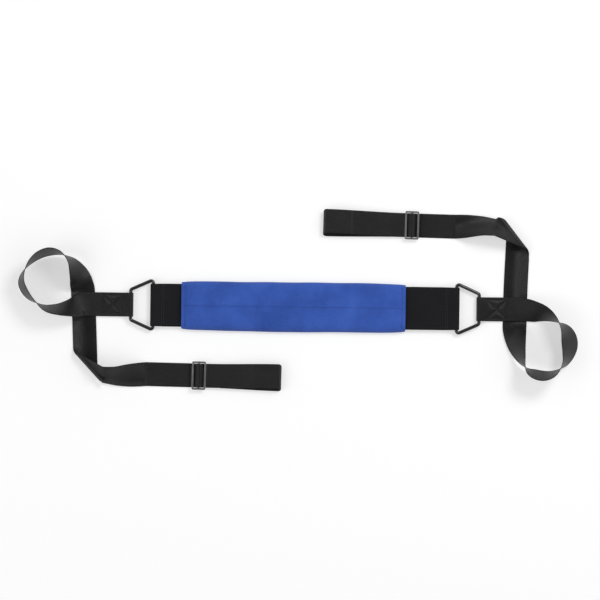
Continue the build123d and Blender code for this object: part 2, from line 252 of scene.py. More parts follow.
def cloth_material():
    """Brushed royal-blue cloth with a short nap and a fine crosswise grain."""
    m = Shader("sleeve_cloth")
    place = m.coords("Object")
    broad = m.noise(place, 22.0, 4.0)
    nap = m.noise(m.coords("Object", (1, 1.6, 1)), 900.0, 3.0, 0.65)
    grain = m.noise(m.coords("Object", (160, 1100, 400)), 1.0, 2.0)
    tone = m.math("ADD", m.math("MULTIPLY", broad, 0.55), m.math("MULTIPLY", nap, 0.45))
    dark, light = (0.018, 0.066, 0.340), (0.058, 0.150, 0.620)
    m.link(m.ramp(tone, [(0.30, dark), (0.70, light)]), m.surface.inputs["Base Color"])
    soft = m.bump(broad, 0.25, 0.0025)
    fine = m.bump(grain, 0.2, 0.0003, soft)
    m.link(m.bump(nap, 0.35, 0.0004, fine), m.surface.inputs["Normal"])
    m.set(Roughness=0.88, Sheen_Weight=0.35, Sheen_Roughness=0.45, Specular_IOR_Level=0.25)
    return m.material


def thread_material(name, dark, light):
    """Twisted sewing thread."""
    m = Shader(name)
    twist = m.noise(m.coords("Object"), 2600.0, 2.0)
    m.link(m.ramp(twist, [(0.3, dark), (0.7, light)]), m.surface.inputs["Base Color"])
    m.link(m.bump(twist, 0.4, 0.0002), m.surface.inputs["Normal"])
    m.set(Roughness=0.55, Specular_IOR_Level=0.4)
    return m.material


def metal_material(name, dark, light, metallic, rough_low, rough_high, coat):
    """Coated or plated metal with fine scuffs."""
    m = Shader(name)
    place = m.coords("Object")
    scuffs = m.noise(place, 420.0, 5.0, 0.7)
    broad = m.noise(place, 60.0, 3.0)
    m.link(m.ramp(broad, [(0.3, dark), (0.7, light)]), m.surface.inputs["Base Color"])
    spread = m.node("ShaderNodeMapRange")
    spread.inputs["To Min"].default_value = rough_low
    spread.inputs["To Max"].default_value = rough_high
    m.link(scuffs, spread.inputs["Value"])
    m.link(spread.outputs[0], m.surface.inputs["Roughness"])
    m.link(m.bump(scuffs, 0.12, 0.0002), m.surface.inputs["Normal"])
    m.set(Metallic=metallic, Coat_Weight=coat, Coat_Roughness=0.12)
    return m.material


def foam_material():
    """Grey foam sheet with open cells."""
    m = Shader("foam")
    cells = m.noise(m.coords("Object"), 1400.0, 4.0, 0.8)
    dark, light = (0.16, 0.16, 0.17), (0.34, 0.34, 0.36)
    m.link(m.ramp(cells, [(0.35, dark), (0.65, light)]), m.surface.inputs["Base Color"])
    m.link(m.bump(cells, 0.6, 0.0005), m.surface.inputs["Normal"])
    m.set(Roughness=0.95)
    return m.material


BELT_WEB = webbing_material(
    "belt_webbing", dark=(0.0065, 0.0065, 0.0082), light=(0.0115, 0.0115, 0.0145),
    rough_low=0.62, rough_high=0.80, rib=0.0022, sheen=0.02, specular=0.20,
)
STRAP_WEB = webbing_material(
    "strap_webbing", dark=(0.0040, 0.0040, 0.0044), light=(0.0090, 0.0090, 0.0100),
    rough_low=0.30, rough_high=0.48, rib=0.0016, sheen=0.01, specular=0.36,
)
CLOTH = cloth_material()
BLUE_THREAD = thread_material("blue_thread", (0.012, 0.032, 0.16), (0.03, 0.07, 0.30))
BLACK_THREAD = thread_material("black_thread", (0.012, 0.012, 0.013), (0.050, 0.050, 0.054))
RING_METAL = metal_material(
    "ring_wire", dark=(0.012, 0.012, 0.013), light=(0.022, 0.022, 0.024),
    metallic=0.0, rough_low=0.22, rough_high=0.38, coat=0.6,
)
SLIDER_METAL = metal_material(
    "slider_metal", dark=(0.26, 0.26, 0.265), light=(0.42, 0.42, 0.43),
    metallic=0.85, rough_low=0.28, rough_high=0.46, coat=0.0,
)
FOAM = foam_material()


# ---- meshes ----
def mesh_object(name, points, faces, material, uvs=None, flat_faces=0):
    """A smooth mesh. Its last flat_faces faces stay flat, so that a cut end is clean."""
    mesh = bpy.data.meshes.new(name)
    mesh.from_pydata([tuple(p) for p in points], [], faces)
    if uvs is not None:
        layer = mesh.uv_layers.new(name="UVMap")
        flat = np.array([uvs[v] for f in faces for v in f], np.float32).ravel()
        layer.data.foreach_set("uv", flat)
    mesh.polygons.foreach_set("use_smooth", [i < len(faces) - flat_faces for i in range(len(faces))])
    mesh.update()
    made = bpy.data.objects.new(name, mesh)
    bpy.context.scene.collection.objects.link(made)
    made.data.materials.append(material)
    return made


SELVEDGE = 0.35      # share of the thickness left at a woven strip's two edges
BACK_LIFT = 0.4      # share of the quilting that shows on the strip's other face
BACK_UV = 0.1        # the other face has its own place in the UV map, this far over


def selvedge(half, w):
    """Half the thickness of a strip at w, from -1 at one edge to 1 at the other."""
    return half * (SELVEDGE if abs(w) == 1 else 1.0)


def ribbon(name, sections, thickness, material, columns=34, closed=False, shape=None):
    """A woven strip through sections of (centre, half-width vector, face normal).

    shape(centre, across) lifts an upward face there, in metres, for quilting at stitches.
    Returns the object and its length.
    """
    half = thickness / 2
    steps = [-1 + 2 * i / columns for i in range(columns + 1)]
    length = 0.0
    points, uvs = [], []
    travelled = [0.0] * (columns + 1)
    previous = None
    for centre, halfwidth, normal in sections:
        row = [centre + halfwidth * w for w in steps]
        if previous is not None:
            travelled = [t + (p - q).length for t, p, q in zip(travelled, row, previous)]
            length += (row[columns // 2] - previous[columns // 2]).length
        previous = row
        width = halfwidth.length
        lift = [shape(centre, w) if shape and normal.z > 0.5 else 0.0 for w in steps]
        upper = [p + normal * (selvedge(half, w) + up) for p, w, up in zip(row, steps, lift)]
        lower = [p - normal * (selvedge(half, w) - BACK_LIFT * up)
                 for p, w, up in zip(row, steps, lift)]
        points += upper + lower[::-1]
        uvs += [(w * width, t) for w, t in zip(steps, travelled)]
        uvs += [(w * width + BACK_UV, t) for w, t in zip(steps[::-1], travelled[::-1])]
    ring = 2 * (columns + 1)
    count = len(sections)
    faces = []
    for i in range(count if closed else count - 1):
        a, b = i * ring, ((i + 1) % count) * ring
        for k in range(ring):
            n = (k + 1) % ring
            faces.append((a + k, a + n, b + n, b + k))
    if not closed:
        last = (count - 1) * ring
        for start in (0, last):
            for k in range(columns):
                cap = (start + k, start + ring - 1 - k, start + ring - 2 - k, start + k + 1)
                faces.append(cap[::-1] if start else cap)
    flat_faces = 0 if closed else 2 * columns
    made = mesh_object(name, points, faces, material, uvs, flat_faces)
    return made, length


def between(a, b, steps):
    """Sections from just after a to b, in a straight line."""
    made = []
    for i in range(1, steps + 1):
        t = i / steps
        normal = (a[2] * (1 - t) + b[2] * t).normalized()
        made.append((a[0].lerp(b[0], t), a[1].lerp(b[1], t), normal))
    return made


def spline(values, t):
    """Catmull-Rom value at t, counted in stations."""
    i = min(int(t), len(values) - 2)
    f = t - i
    p0 = values[max(i - 1, 0)]
    p1, p2 = values[i], values[i + 1]
    p3 = values[min(i + 2, len(values) - 1)]
    return 0.5 * (2 * p1 + (p2 - p0) * f + (2 * p0 - 5 * p1 + 4 * p2 - p3) * f * f
                  + (3 * p1 - p0 - 3 * p2 + p3) * f ** 3)


def lay_sections(stations, spacing=0.0022):
    """Smooth sections of a strap through its (x, y, tilt, low edge) stations."""
    table = np.array(stations, float)
    dense = []
    for i in range(len(stations) - 1):
        gap = np.hypot(*(table[i + 1, :2] - table[i, :2])) * MM
        steps = max(2, int(gap / spacing))
        dense += [i + k / steps for k in range(steps)]
    dense.append(len(stations) - 1)
    centres, tilts = [], []
    for t in dense:
        x, y, tilt, base = (spline(table[:, k], t) for k in range(4))
        a = math.radians(min(max(tilt, 0), 180))
        rise = STRAP_WIDTH / 2 * math.sin(a) + STRAP / 2 * abs(math.cos(a))
        centres.append(Vector((x * MM, y * MM, max(base, 0) * MM + rise)))
        tilts.append(a)
    sections = []
    for i, centre in enumerate(centres):
        heading = (centres[min(i + 1, len(centres) - 1)] - centres[max(i - 1, 0)]).normalized()
        flat = Vector((heading.x, heading.y, 0)).normalized()
        across = UP.cross(flat) * math.cos(tilts[i]) + UP * math.sin(tilts[i])
        sections.append((centre, across * (STRAP_WIDTH / 2), heading.cross(across).normalized()))
    return sections


def eye_sections(sign):
    """Sections from the sewn tail end, round the ring's narrow bar and back over it."""
    across = Vector((0, sign * STRAP_WIDTH / 2, 0))
    middle = WIRE_RADIUS + WRAP_GAP + STRAP / 2
    tail_z = CROSSING - SLIT - STRAP / 2
    main_z = CROSSING + STRAP / 2
    lean, ease = 0.35, 1.6

    def place(reach, z):
        return Vector((sign * (NARROW_BAR_X + reach), 0, z))

    start = (place(TAIL_REACH, tail_z), across, -UP)
    sections = [start] + between(start, (place(TAIL_RISE, tail_z), across, -UP), 12)
    first, last, steps = math.radians(-80), math.radians(EYE_LEAVE - 360), 34
    for i in range(steps + 1):
        a = first + (last - first) * i / steps
        out = Vector((sign * math.cos(a), 0, math.sin(a)))
        sections.append((place(0, BAR_Z) + out * middle, across, out))
    leave_reach = middle * math.cos(last)
    fall = BAR_Z + middle * math.sin(last) - main_z
    landing = leave_reach + fall / math.tan(math.radians(90 - EYE_LEAVE)) + 0.006
    steps = 12
    for i in range(1, steps + 1):
        t = i / steps
        at = place(leave_reach * (1 - t) + landing * t, main_z + fall * (1 - t) ** ease)
        sections.append((at, across, Vector((sign * lean * (1 - t), 0, 1)).normalized()))
    return sections


def fold_sections(fold, crease, arrive):
    """Sections of the loose corner fold, for a strap that comes in along arrive."""
    along, out = direction(crease), direction(crease - 90)
    if out.dot(arrive) < 0:
        out = -out
    back_side = -UP.cross(arrive)
    across = along if along.dot(back_side) > 0 else -along
    half = across * (STRAP_WIDTH / 2 / abs(along.dot(back_side)))
    drift = arrive.dot(along) / arrive.dot(out)
    sections, steps = [], 28
    origin = Vector((fold[0] * MM, fold[1] * MM, STRAP / 2))
    for i in range(steps + 1):
        a = math.pi * i / steps
        centre = origin + along * (FOLD_RADIUS * a * drift) + out * (FOLD_RADIUS * math.sin(a))
        centre = centre + UP * (FOLD_RADIUS * (1 - math.cos(a)))
        sections.append((centre, half, -UP * math.cos(a) + out * math.sin(a)))
    return sections


def box_quilt(u, across, length, width):
    """How far a sewn box and its cross pull webbing in, and how far it puffs between them.

    u is the distance along the box, and across goes from -1 to 1 over the strap.
    """
    margin, cross_slant = 0.004, 0.7
    pull_depth, pull_reach = 0.0005, 0.0012
    puff_height, puff_reach = 0.0011, 0.0065
    v = across * STRAP_WIDTH / 2 + width / 2
    if not (-margin < u < length + margin):
        return 0.0
    inside_u, inside_v = min(u, length - u), min(v, width - v)
    lines = [abs(inside_u), abs(inside_v)]
    if inside_u > 0 and inside_v > 0:
        lines.append(abs(u / length - v / width) * width * cross_slant)
        lines.append(abs(u / length + v / width - 1) * width * cross_slant)
    near = min(lines)
    pull = -pull_depth * math.exp(-((near / pull_reach) ** 2))
    puff = puff_height * smooth(near / puff_reach) if inside_u > 0 and inside_v > 0 else 0.0
    return pull + puff


def stitch(points, faces, a, b, up, radius):
    """One thread stitch from a to b, a short bead that dips in at both ends."""
    rings, around = 5, 6
    end_size, rise, sink = 0.45, 0.9, 0.35
    run = b - a
    side = up.cross(run).normalized()
    base = len(points)
    for i in range(rings):
        t = i / (rings - 1)
        lift = math.sin(math.pi * t)
        size = radius * (end_size + (1 - end_size) * lift)
        centre = a + run * t + up * (radius * (rise * lift - sink))
        for k in range(around):
            angle = 2 * math.pi * k / around
            points.append(centre + side * (size * math.cos(angle)) + up * (size * math.sin(angle)))
    for i in range(rings - 1):
        for k in range(around):
            n = (k + 1) % around
            p, q = base + i * around, base + (i + 1) * around
            faces.append((p + k, q + k, q + n, p + n))
    faces.append(tuple(base + k for k in range(around)))
    last = base + (rings - 1) * around
    faces.append(tuple(last + k for k in reversed(range(around))))


STITCH_GAP = 0.28    # share of each stitch's pitch that lies between two stitches


def stitch_rows(name, rows, height, pitch, radius, material):
    """Rows of stitches from start to end, each laid on the surface at height(point)."""
    points, faces = [], []
    for start, end in rows:
        start, end = Vector(start), Vector(end)
        count = max(1, int((end - start).length / pitch))
        for i in range(count):
            a = start.lerp(end, (i + STITCH_GAP / 2) / count)
            b = start.lerp(end, (i + 1 - STITCH_GAP / 2) / count)
            a.z, b.z = height(a), height(b)
            stitch(points, faces, a, b, UP, radius)
    return mesh_object(name, points, faces, material)


# ---- the belt ----
def belt_sections():
    """Round both rings: along the top, round the right bar, back below, round the left."""
    half = Vector((0, BELT_WIDTH / 2, 0))
    offset = (BELT_SLIT + BELT_LAYER) / 2
    middle = WIRE_RADIUS + WRAP_GAP + BELT_LAYER / 2
    swell = 0.013
    waist, waist_reach = 0.012, 0.012
    path = []
    flat_end = WIDE_BAR_X - swell

    def layer_z(x):
        t = (abs(x) - flat_end) / swell
        return offset + (middle - offset) * smooth(t) if t > 0 else offset

    count, turn = 150, 18
    xs = [-WIDE_BAR_X + 2 * WIDE_BAR_X * i / count for i in range(count + 1)]
    for x in xs:
        path.append((x, BAR_Z + layer_z(x)))
    for i in range(1, turn):
        a = math.radians(90 - 180 * i / turn)
        path.append((WIDE_BAR_X + middle * math.cos(a), BAR_Z + middle * math.sin(a)))
    for x in reversed(xs):
        path.append((x, BAR_Z - layer_z(x)))
    for i in range(1, turn):
        a = math.radians(-90 - 180 * i / turn)
        path.append((-WIDE_BAR_X + middle * math.cos(a), BAR_Z + middle * math.sin(a)))
    sections = []
    for i, (x, z) in enumerate(path):
        before, after = path[i - 1], path[(i + 1) % len(path)]
        run = Vector((after[0] - before[0], 0, after[1] - before[1])).normalized()
        pull = 1 - waist * math.exp(-((abs(x) - WIDE_BAR_X) / waist_reach) ** 2)
        sections.append((Vector((x, 0, z)), half * pull, Vector((-run.z, 0, run.x))))
    return sections


def make_belt():
    """The belt's band, in one closed loop, and the two rows of stitches at each wrap."""
    belt, length = ribbon("belt_band", belt_sections(), BELT_LAYER, BELT_WEB, columns=30, closed=True)
    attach(belt, "belt")
    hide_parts("belt_webbing")
    top = BAR_Z + BELT_SLIT / 2 + BELT_LAYER
    for side, sign in (("left", -1), ("right", 1)):
        node = f"{side}_belt_stitching"
        low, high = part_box(node)
        middle = (low.x + high.x) / 2
        reach = BELT_WIDTH / 2 - 0.002
        rows = [((x, -reach, 0), (x, reach, 0)) for x in (middle, middle - sign * 0.003)]
        row = stitch_rows(f"{side}_belt_stitches", rows, lambda p: top, 0.0034, 0.0004, BLACK_THREAD)
        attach(row, "belt")
        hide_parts(node)


# ---- the sleeve ----
SEAM_LOW, SEAM_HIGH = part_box("sleeve_seam_stitching")
SEAM_Y = (SEAM_LOW.y + SEAM_HIGH.y) / 2
HEM = 0.006
CROWN_EDGE = 0.0112       # height of the cloth near the sleeve's two long edges
CROWN_RISE = 0.0016       # how much higher its middle is
SIDE_HEIGHT = 0.0042      # height of the long edges
SLEEVE_STITCH = dict(pitch=0.0032, radius=0.00034, material=BLUE_THREAD)


def sleeve_edge(side, u):
    """How far a long edge of the sleeve wanders in and out, along the sleeve."""
    wander_depth, waves_per_metre = 0.0011, 16
    end_pull, end_reach = 0.0014, 0.008
    seed = 3.1 if side > 0 else 9.7
    fullness = 0.0006 if side > 0 else 0.0022
    x = u * SLEEVE_LENGTH
    end = min(u, 1 - u) * SLEEVE_LENGTH
    wander = noise.noise(Vector((x * waves_per_metre, seed, 0))) * wander_depth
    bulge = fullness * math.sin(math.pi * u) ** 0.5
    return wander + bulge - end_pull * math.exp(-end / end_reach)


def wrinkle(x, y):
    """Height of the soft wrinkles in the cloth."""
    broad_height, crease_height, fine_height = 0.0019, 0.0011, 0.00022
    middle_share = 0.35
    broad = noise.noise(Vector((x * 14, y * 30, 2.0)))
    crease = noise.noise(Vector((x * 60 + y * 22, y * 12, 5.0)))
    fine = noise.noise(Vector((x * 150, y * 60, 8.0)))
    near_edge = smooth((abs(y) / COVER_HIGH.y - middle_share) / 0.6)
    creases = crease * crease_height * (middle_share + near_edge)
    return broad * broad_height + creases + fine * fine_height


def sleeve_top(x, y):
    """Height of the cloth's outer face over the belt."""
    u = (x - COVER_LOW.x) / SLEEVE_LENGTH
    v = y / COVER_HIGH.y
    end = min(u, 1 - u) * SLEEVE_LENGTH
    crown = CROWN_EDGE + CROWN_RISE * math.cos(min(abs(v), 1) * math.pi / 2)
    end_fall, end_reach = 0.0022, 0.012
    crown -= end_fall * math.exp(-end / end_reach)
    height = crown + wrinkle(x, y) * smooth(end / 0.02 + 0.25)
    seam_depth, seam_width, ridge_height, ridge_reach = 0.0026, 0.0013, 0.0010, 0.005
    hem_depth, hem_width = 0.0009, 0.0014
    height -= seam_depth * math.exp(-(((y - SEAM_Y) / seam_width) ** 2))
    if y < SEAM_Y:
        height += ridge_height * math.exp(-((SEAM_Y - y) / ridge_reach))
    height -= hem_depth * math.exp(-(((end - HEM) / hem_width) ** 2))
    return height


def make_cover(name, wall, material, rings=300, around=120):
    """The sleeve's cloth as a flattened tube, open at both ends, with two faces."""
    half = COVER_HIGH.y
    squareness, edge_pinch = 0.32, 14
    points, faces, uvs = [], [], []

    def section(u, depth):
        x = COVER_LOW.x + SLEEVE_LENGTH * u
        row = []
        for k in range(around):
            t = k / around
            c, s = math.cos(2 * math.pi * t), math.sin(2 * math.pi * t)
            across = math.copysign(abs(c) ** squareness, c)
            y = across * (half + sleeve_edge(1 if c > 0 else -1, u) - depth)
            opened = (1 - abs(across) ** edge_pinch) * min(1, abs(s) ** squareness)
            if s >= 0:
                z = SIDE_HEIGHT + (sleeve_top(x, y) - depth - SIDE_HEIGHT) * opened
            else:
                z = SIDE_HEIGHT - (SIDE_HEIGHT - depth) * opened
            row.append((Vector((x, y, z)), (t, u)))
        return row

    for depth in (0.0, wall):
        for i in range(rings + 1):
            for point, uv in section(i / rings, depth):
                points.append(point)
                uvs.append(uv)
    inner = (rings + 1) * around
    for i in range(rings):
        for k in range(around):
            n = (k + 1) % around
            a, b = i * around, (i + 1) * around
            faces.append((a + k, b + k, b + n, a + n))
            faces.append((inner + a + k, inner + a + n, inner + b + n, inner + b + k))
    last = rings * around
    for k in range(around):
        n = (k + 1) % around
        faces.append((k, n, inner + n, inner + k))
        faces.append((last + k, inner + last + k, inner + last + n, last + n))
    return mesh_object(name, points, faces, material, uvs)


def make_pad(name, low, high, nx=120, ny=24):
    """A foam sheet whose rim is a little thinner."""
    rim_sink = 0.0007
    points, faces = [], []
    for layer in (0, 1):
        for i in range(nx + 1):
            for j in range(ny + 1):
                x = low.x + (high.x - low.x) * i / nx
                y = low.y + (high.y - low.y) * j / ny
                sink = rim_sink if min(i, nx - i, j, ny - j) == 0 else 0.0
                points.append(Vector((x, y, high.z - sink if layer else low.z + sink)))
    row = ny + 1
    span = (nx + 1) * row
    for i in range(nx):
        for j in range(ny):
            a, b = i * row + j, (i + 1) * row + j
            faces.append((a, a + 1, b + 1, b))
            faces.append((span + a, span + b, span + b + 1, span + a + 1))
    rim = [i * row for i in range(nx + 1)] + [nx * row + j for j in range(1, row)]
    rim += [i * row + ny for i in range(nx - 1, -1, -1)] + [j for j in range(ny - 1, 0, -1)]
    for k, a in enumerate(rim):
        b = rim[(k + 1) % len(rim)]
        faces.append((a, b, span + b, span + a))
    return mesh_object(name, points, faces, FOAM)


def make_sleeve():
    """The padded sleeve: its cloth, the foam in it, and its seam and hem stitches."""
    cover = make_cover("sleeve_cloth_cover", 0.0009, CLOTH)
    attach(cover, "sleeve")
    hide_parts("sleeve_cover")

    pad = make_pad("sleeve_foam_pad", *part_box("sleeve_pad"))
    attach(pad, "sleeve")
    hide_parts("sleeve_pad")

    def cloth_height(point):
        return sleeve_top(point.x, point.y)

    end_margin, edge_margin, below_seam = 0.004, 0.006, 0.0042
    x0, x1 = COVER_LOW.x + end_margin, COVER_HIGH.x - end_margin
    y = SEAM_Y - below_seam
    seam = stitch_rows("sleeve_seam_stitches", [((x0, y, 0), (x1, y, 0))], cloth_height, **SLEEVE_STITCH)
    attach(seam, "sleeve")
    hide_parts("sleeve_seam_stitching")
    for side, x in (("left", COVER_LOW.x + HEM), ("right", COVER_HIGH.x - HEM)):
        reach = COVER_HIGH.y - edge_margin
        rows = [((x, -reach, 0), (x, reach, 0))]
        hem = stitch_rows(f"{side}_hem_stitches", rows, cloth_height, **SLEEVE_STITCH)
        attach(hem, "sleeve")
        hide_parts(f"{side}_hem_stitching")


# ---- rings, sliders and straps ----
def swept_wire(name, path, radius, material, around=18):
    """A round wire round a closed path."""
    points, faces = [], []
    count = len(path)
    for i, point in enumerate(path):
        run = (path[(i + 1) % count] - path[i - 1]).normalized()
        side = UP.cross(run).normalized()
        for k in range(around):
            a = 2 * math.pi * k / around
            points.append(point + side * (radius * math.cos(a)) + UP * (radius * math.sin(a)))
    for i in range(count):
        a, b = i * around, ((i + 1) % count) * around
        for k in range(around):
            n = (k + 1) % around
            faces.append((a + k, a + n, b + n, b + k))
    return mesh_object(name, points, faces, material)


def rounded_path(corners, radius, spacing=0.0015, bend_steps=10):
    """Points along a closed path of straight runs with a bend at each corner."""
    path = []
    count = len(corners)
    for i, corner in enumerate(corners):
        to_last = (corners[i - 1] - corner).normalized()
        to_next = (corners[(i + 1) % count] - corner).normalized()
        half = to_last.angle(to_next) / 2
        tangent = radius / math.tan(half)
        centre = corner + (to_last + to_next).normalized() * (radius / math.sin(half))
        a, b = corner + to_last * tangent, corner + to_next * tangent
        first, last = (a - centre).normalized(), (b - centre).normalized()
        sweep = first.angle(last)
        for k in range(bend_steps + 1):
            t = k / bend_steps
            spoke = first * math.sin((1 - t) * sweep) + last * math.sin(t * sweep)
            path.append(centre + spoke * (radius / math.sin(sweep)))
        following = corners[(i + 1) % count]
        half_next = (corner - following).angle(corners[(i + 2) % count] - following) / 2
        target = following - to_next * (radius / math.tan(half_next))
        steps = max(2, int((target - b).length / spacing))
        path += [b.lerp(target, k / steps) for k in range(1, steps)]
    return path


def make_ring(side, sign):
    """A closed wire ring, wide where the belt wraps it and narrow where the strap does."""
    wide_x, narrow_x = sign * WIDE_BAR_X, sign * NARROW_BAR_X
    corners = [
        Vector((wide_x, -RING_WIDE, BAR_Z)), Vector((wide_x, RING_WIDE, BAR_Z)),
        Vector((narrow_x, RING_NARROW, BAR_Z)), Vector((narrow_x, -RING_NARROW, BAR_Z)),
    ]
    ring = swept_wire(f"{side}_ring_wire", rounded_path(corners, RING_BEND), WIRE_RADIUS, RING_METAL)
    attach(ring, f"{side}_ring")
    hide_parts(f"{side}_ring")


def profile_sections(points, origin, run, spacing=0.0018, shift=None):
    """Sections of a strap whose middle follows (distance, height) points, smoothed.

    shift(distance, height) is how far the strap lies to the side there.
    """
    table = np.array(points, float)
    sections, centres = [], []
    for i in range(len(points) - 1):
        gap = np.hypot(*(table[i + 1] - table[i]))
        steps = max(1, int(gap / spacing))
        for k in range(steps):
            t = i + k / steps
            centres.append((spline(table[:, 0], t), spline(table[:, 1], t)))
    centres.append(tuple(points[-1]))
    side = UP.cross(run)
    for i, (d, z) in enumerate(centres):
        before, after = centres[max(i - 1, 0)], centres[min(i + 1, len(centres) - 1)]
        slope = math.atan2(after[1] - before[1], after[0] - before[0])
        normal = UP * math.cos(slope) - run * math.sin(slope)
        centre = origin + run * d + UP * z + side * (shift(d, z) if shift else 0.0)
        sections.append((centre, side * (STRAP_WIDTH / 2), normal))
    return sections


def arc(centre_z, radius, first, last, steps, centre_x=0.0):
    """(distance, height) points round a centre, from the first angle to the last."""
    angles = [math.radians(first + (last - first) * i / steps) for i in range(steps + 1)]
    return [(centre_x + radius * math.cos(a), centre_z + radius * math.sin(a)) for a in angles]


def piece_of_strap(name, sections, node, body=None, shape=None, blend=None):
    """A length of strap in place of its CAD node, on one body, or baked into world space and left
    unattached when blend is given.
    """
    made, length = ribbon(name, sections, STRAP, STRAP_WEB, shape=shape)
    if blend:
        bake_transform(made)
    else:
        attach(made, body)
    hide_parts(node)
    return made, length


def rows_of_black(name, rows, z, pitch, radius, body, node):
    """Rows of black stitches at height z, in place of their CAD node."""
    made = stitch_rows(name, rows, lambda p: z, pitch, radius, BLACK_THREAD)
    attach(made, body)
    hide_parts(node)
    return made


class Side:
    """Where one side's slider and hand loop lie. Distances run along the strap."""

    def __init__(self, side, data):
        self.side, self.sign = side, data["sign"]
        self.run = direction(data["heading"])
        x, y = data["run"][-1][:2]
        self.start = Vector((x * MM, y * MM, 0))
        self.slider_at = self.start + self.run * data["slider"]
        self.before_slider = data["slider"]
        low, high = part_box(f"{side}_slider_frame")
        self.bar_z = (low.z + high.z) / 2
        self.wrap = (high.z - low.z) / 2 + BAR_CLEARANCE + STRAP / 2
        self.reach = data["reach"]
        self.split = self.reach - LOOP_BEND_REACH
        self.strap_body, self.slider_body = f"{side}_strap", f"{side}_slider"
        self.end_body = f"{side}_loop_end"

    def loop_blend(self):
        """The slider's body, the loop end's body and the two points between them along the hand loop's
        layers.
        """
        first = self.slider_at + self.run * SEWN_END
        last = self.slider_at + self.run * self.split
        return self.slider_body, self.end_body, tuple(first), tuple(last)

    def sections(self, points, spacing=0.0018, shift=None):
        return profile_sections(points, self.slider_at, self.run, spacing, shift)


def make_strap(place, data):
    """The strap from its sewn eye, round the loose loop and the corner fold, to the flat run."""
    side, run = place.side, place.run
    eye = eye_sections(place.sign)
    loop = lay_sections(data["loop"])
    arrive = (loop[-1][0] - loop[-2][0]).normalized()
    fold = fold_sections(data["fold"], data["crease"], arrive)
    after = lay_sections(data["run"])
    sections = eye + between(eye[-1], loop[0], 44) + loop[1:]
    sections += between(sections[-1], fold[0], 14) + fold[1:]
    sections += between(sections[-1], after[0], 14) + after[1:-1]
    sections.append((place.start + UP * (STRAP / 2), UP.cross(run) * (STRAP_WIDTH / 2), UP))
    low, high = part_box(f"{side}_box_stitching")
    length, width = high.x - low.x, high.y - low.y

    def quilt(centre, across):
        at_box = abs(centre.y) < STRAP_WIDTH / 4
        return box_quilt(centre.x - low.x, across, length, width) if at_box else 0.0

    strap, flat_length = piece_of_strap(
        f"{side}_strap", sections, f"{side}_strap_webbing", place.strap_body, quilt)
    inset = 0.0005
    x0, x1, y1 = low.x + inset, high.x - inset, width / 2 - inset
    a, b, c, d = (x0, -y1, 0), (x1, -y1, 0), (x1, y1, 0), (x0, y1, 0)
    rows = [(a, b), (b, c), (c, d), (d, a), (a, c), (d, b)]
    stitches = rows_of_black(f"{side}_box_stitches", rows, CROSSING + STRAP, 0.0030, 0.00036,
                             place.strap_body, f"{side}_box_stitching")


def make_run(place):
    """The flat run up to the slider, left unattached to any body."""
    side, half = place.side, STRAP / 2
    blend_end = place.slider_at - place.run * 0.016
    points = [(-place.before_slider, half), (-place.before_slider / 2, half),
              (-SLIDER_EDGE - RUN_END, half)]
    piece, length = piece_of_strap(
        f"{side}_run", place.sections(points), f"{side}_strap_run",
        blend=(place.strap_body, place.slider_body, tuple(place.start), tuple(blend_end)))


def make_hand_loop(place):
    """The hand loop: over the slider's wrapped bar, out, round its end and back below."""
    side, reach, split, half = place.side, place.reach, place.split, STRAP / 2
    edge = SLIDER_EDGE
    hump = place.wrap + STRAP + WRAP_GAP
    under_rail = 2 * STRAP + WRAP_GAP + half + SLIT
    end_mid = LOOP_END_RADIUS - half
    loop_top = LOOP_END_RADIUS + end_mid
    end_x = reach - LOOP_END_RADIUS

    def upper_height(d):
        """Height of the upper layer, which climbs evenly from the slider to the end."""
        first = edge + 0.005
        return under_rail + (loop_top - under_rail) * (d - first) / (end_x - first)

    def shift(d, level):
        """How far a layer lies to the side: level is 1 for the upper one, -1 for the lower."""
        return -place.sign * LOOP_FAN * level * smooth((d - edge) / (reach - edge))

    def shift_bend(d, z):
        top = upper_height(d) if d < end_x else loop_top
        return shift(d, 2 * min(max((z - half) / (top - half), 0.0), 1.0) - 1)

    upper = [(-edge - RUN_END, half), (-edge - 0.0005, half + 0.00015), (-edge + 0.002, half + 0.00125)]
    upper += arc(place.bar_z, hump, 165, 15, 8)
    upper += [(edge - 0.0027, under_rail + 0.0002), (edge + 0.0005, under_rail)]
    upper += [(edge + 0.005, under_rail), (split, upper_height(split))]
    piece, length = piece_of_strap(
        f"{side}_hand_loop_top", place.sections(upper, shift=lambda d, z: shift(d, 1)),
        f"{side}_hand_loop_upper", blend=place.loop_blend())

    lower = [(SEWN_END, half), ((SEWN_END + split) / 2, half), (split, half)]
    piece, length = piece_of_strap(
        f"{side}_hand_loop_under", place.sections(lower, shift=lambda d, z: shift(d, -1)),
        f"{side}_hand_loop_lower", blend=place.loop_blend())

    turn = [(split, upper_height(split))] + arc(LOOP_END_RADIUS, end_mid, 82, -90, 12, end_x)
    turn += [((split + end_x) / 2, half), (split, half)]
    piece, length = piece_of_strap(
        f"{side}_hand_loop_bend", place.sections(turn, 0.001, shift_bend), f"{side}_hand_loop_end",
        place.end_body)


